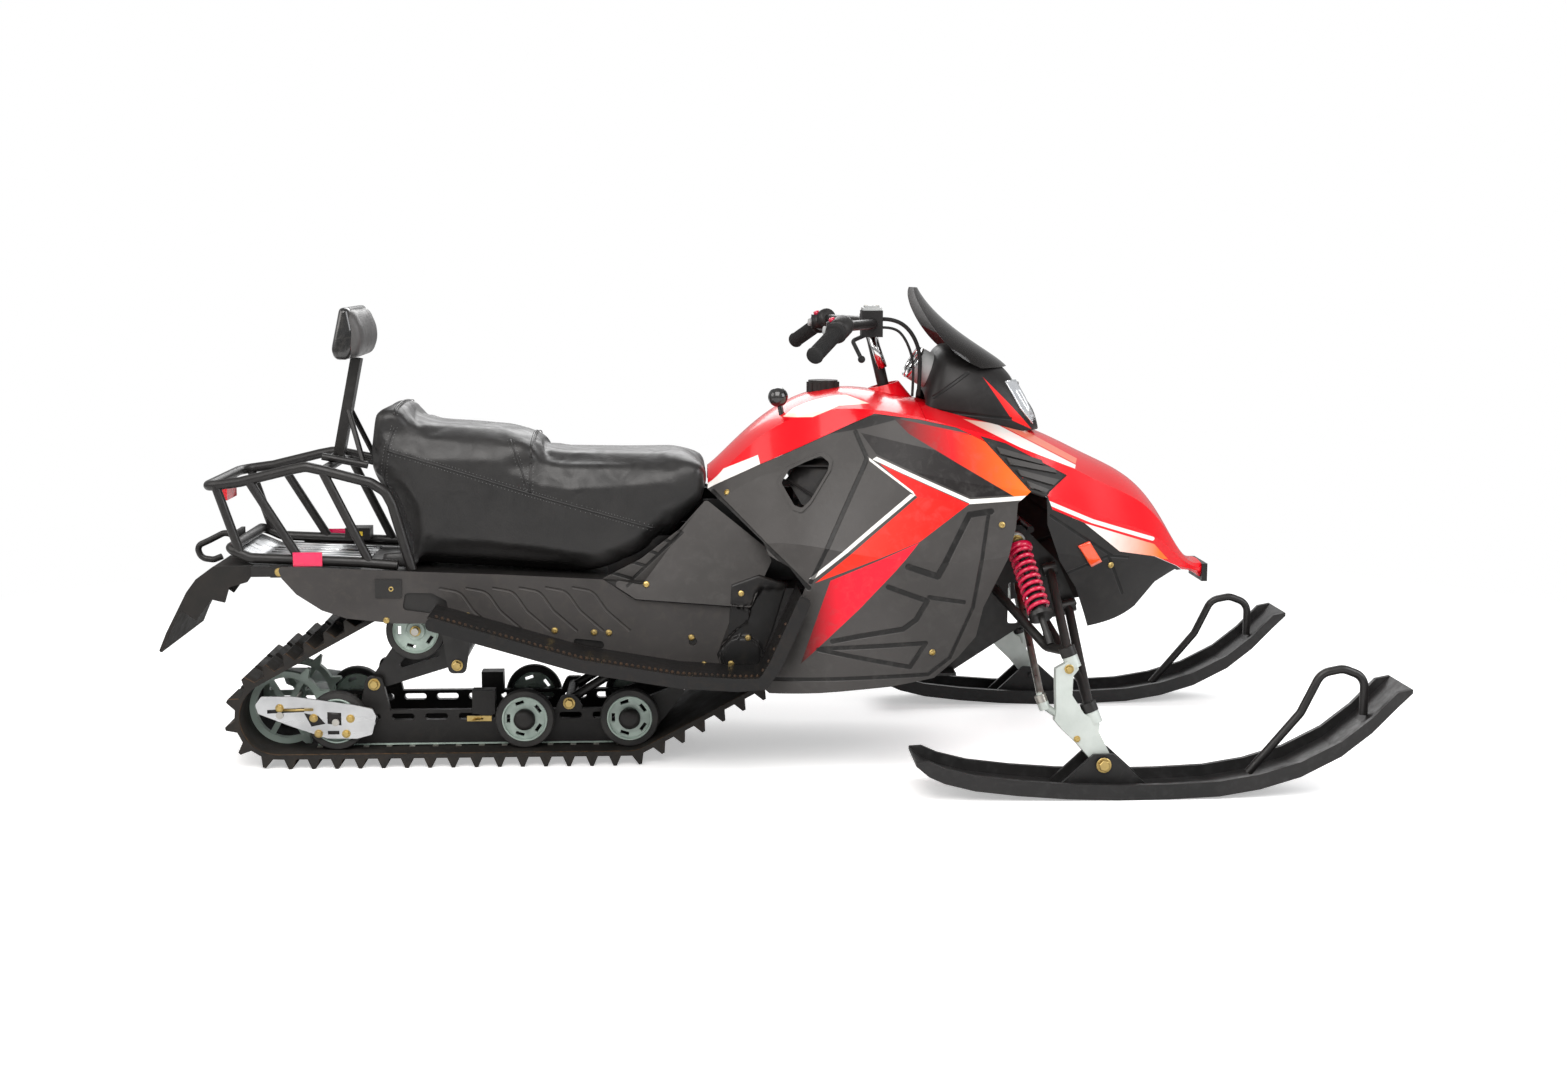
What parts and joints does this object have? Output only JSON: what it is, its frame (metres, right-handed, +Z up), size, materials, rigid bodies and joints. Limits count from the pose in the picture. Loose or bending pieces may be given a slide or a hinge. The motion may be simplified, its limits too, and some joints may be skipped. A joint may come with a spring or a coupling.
{
  "type": "snowmobile",
  "caption": "Compact snowmobile with a rubber drive track, steered skis, stepped seat with backrest, tinted screen and a tubular rear rack.",
  "frame": {"origin": "middle of the bounding box in plan, on the ground under the track and the skis", "axes": "+X towards the nose, +Y to the rider's left, +Z up"},
  "size_m": [2.6289, 1.05, 1.04],
  "materials": {
    "red_plastic": "glossy bright red moulding",
    "grey_plastic": "satin dark grey moulding",
    "black_plastic": "satin black moulding",
    "silver_plastic": "silver-grey moulding",
    "clear_lens": "clear lens",
    "tinted_screen": "dark tinted clear sheet",
    "red_lens": "red reflector lens",
    "vinyl": "black grained vinyl",
    "track_rubber": "moulded black rubber",
    "grip_rubber": "black rubber and plastic",
    "black_metal": "black powder coat",
    "bright_metal": "bare rolled sheet",
    "cast_metal": "pale painted casting",
    "zinc_steel": "zinc plated",
    "spring_red": "crimson powder coat",
    "wheel_plastic": "pale green-grey moulding",
    "engine_metal": "bare casting",
    "ski_plastic": "black low-friction moulding"
  },
  "bodies": {
    "chassis": {"track": "track_rubber", "tunnel": "black_metal", "side_skirts": "black_plastic", "running_boards": "black_metal", "tank_cover": "red_plastic", "hood": "red_plastic", "side_panels": "grey_plastic", "nose_panel": "black_plastic", "seat_side_covers": "grey_plastic", "front_bumper": "black_plastic", "seat": "vinyl", "backrest_pad": "vinyl", "cowl": "black_plastic", "headlight": "clear_lens", "windshield": "tinted_screen", "instrument_pod": "silver_plastic", "suspension_links": "black_metal", "shock_absorbers": "zinc_steel", "coil_springs": "spring_red", "slide_rails": "black_plastic", "bogie_wheels": "wheel_plastic", "wheel_axles": "zinc_steel", "rear_sprockets": "wheel_plastic", "drive_axle": "black_metal", "tensioner_plates": "bright_metal", "rear_suspension_arm": "black_metal", "front_suspension_arm": "black_metal", "rack_deck": "bright_metal", "rear_rack": "black_metal", "backrest_frame": "black_metal", "snow_flap": "track_rubber", "tow_hitch": "black_metal", "tail_lamp": "red_lens", "reflectors": "red_lens", "front_bulkhead": "black_metal", "engine_block": "engine_metal", "fuel_cap": "black_plastic", "gear_lever": "black_plastic", "control_cables": "grip_rubber"},
    "steering": {"steering_column": "black_metal", "handlebar": "black_metal", "hand_controls": "grip_rubber"},
    "right_spindle": {"spindle_right": "cast_metal"},
    "right_tie_rod": {"tie_rod_right": "zinc_steel"},
    "right_ski": {"ski_right": "ski_plastic", "ski_loop_right": "black_metal"},
    "left_spindle": {"spindle_left": "cast_metal"},
    "left_tie_rod": {"tie_rod_left": "zinc_steel"},
    "left_ski": {"ski_left": "ski_plastic", "ski_loop_left": "black_metal"}
  },
  "joints": [
    {"name": "handlebar_turn", "type": "hinge", "parent": "chassis", "child": "steering", "pos_m": [0.612, 0, 0.468], "axis": [-0.7214, 0, 0.6925], "range_deg": [-34, 34], "deforming": ["control_cables"]},
    {"name": "right_spindle_turn", "type": "hinge", "parent": "chassis", "child": "right_spindle", "pos_m": [0.668, -0.45, 0.181], "axis": [-0.3551, 0.113, 0.928], "range_deg": [-30, 30]},
    {"name": "right_tie_rod_turn", "type": "hinge", "parent": "right_spindle", "child": "right_tie_rod", "pos_m": [0.568, -0.444, 0.199], "axis": [-0.3551, 0.113, 0.928], "range_deg": [-30, 30]},
    {"name": "right_ski_pitch", "type": "hinge", "parent": "right_spindle", "child": "right_ski", "pos_m": [0.693, -0.45, 0.068], "axis": [0, 1, 0], "range_deg": [-20, 12], "stiffness_Nm_per_rad": 60},
    {"name": "left_spindle_turn", "type": "hinge", "parent": "chassis", "child": "left_spindle", "pos_m": [0.668, 0.45, 0.181], "axis": [-0.3551, -0.113, 0.928], "range_deg": [-30, 30]},
    {"name": "left_tie_rod_turn", "type": "hinge", "parent": "left_spindle", "child": "left_tie_rod", "pos_m": [0.568, 0.444, 0.199], "axis": [-0.3551, -0.113, 0.928], "range_deg": [-30, 30]},
    {"name": "left_ski_pitch", "type": "hinge", "parent": "left_spindle", "child": "left_ski", "pos_m": [0.693, 0.45, 0.068], "axis": [0, 1, 0], "range_deg": [-20, 12], "stiffness_Nm_per_rad": 60}
  ],
  "couplings": [
    {"joint": "right_spindle_turn", "follows": "handlebar_turn", "ratio": 0.862},
    {"joint": "right_tie_rod_turn", "follows": "handlebar_turn", "ratio": -0.862},
    {"joint": "left_spindle_turn", "follows": "handlebar_turn", "ratio": 0.862},
    {"joint": "left_tie_rod_turn", "follows": "handlebar_turn", "ratio": -0.862}
  ]
}
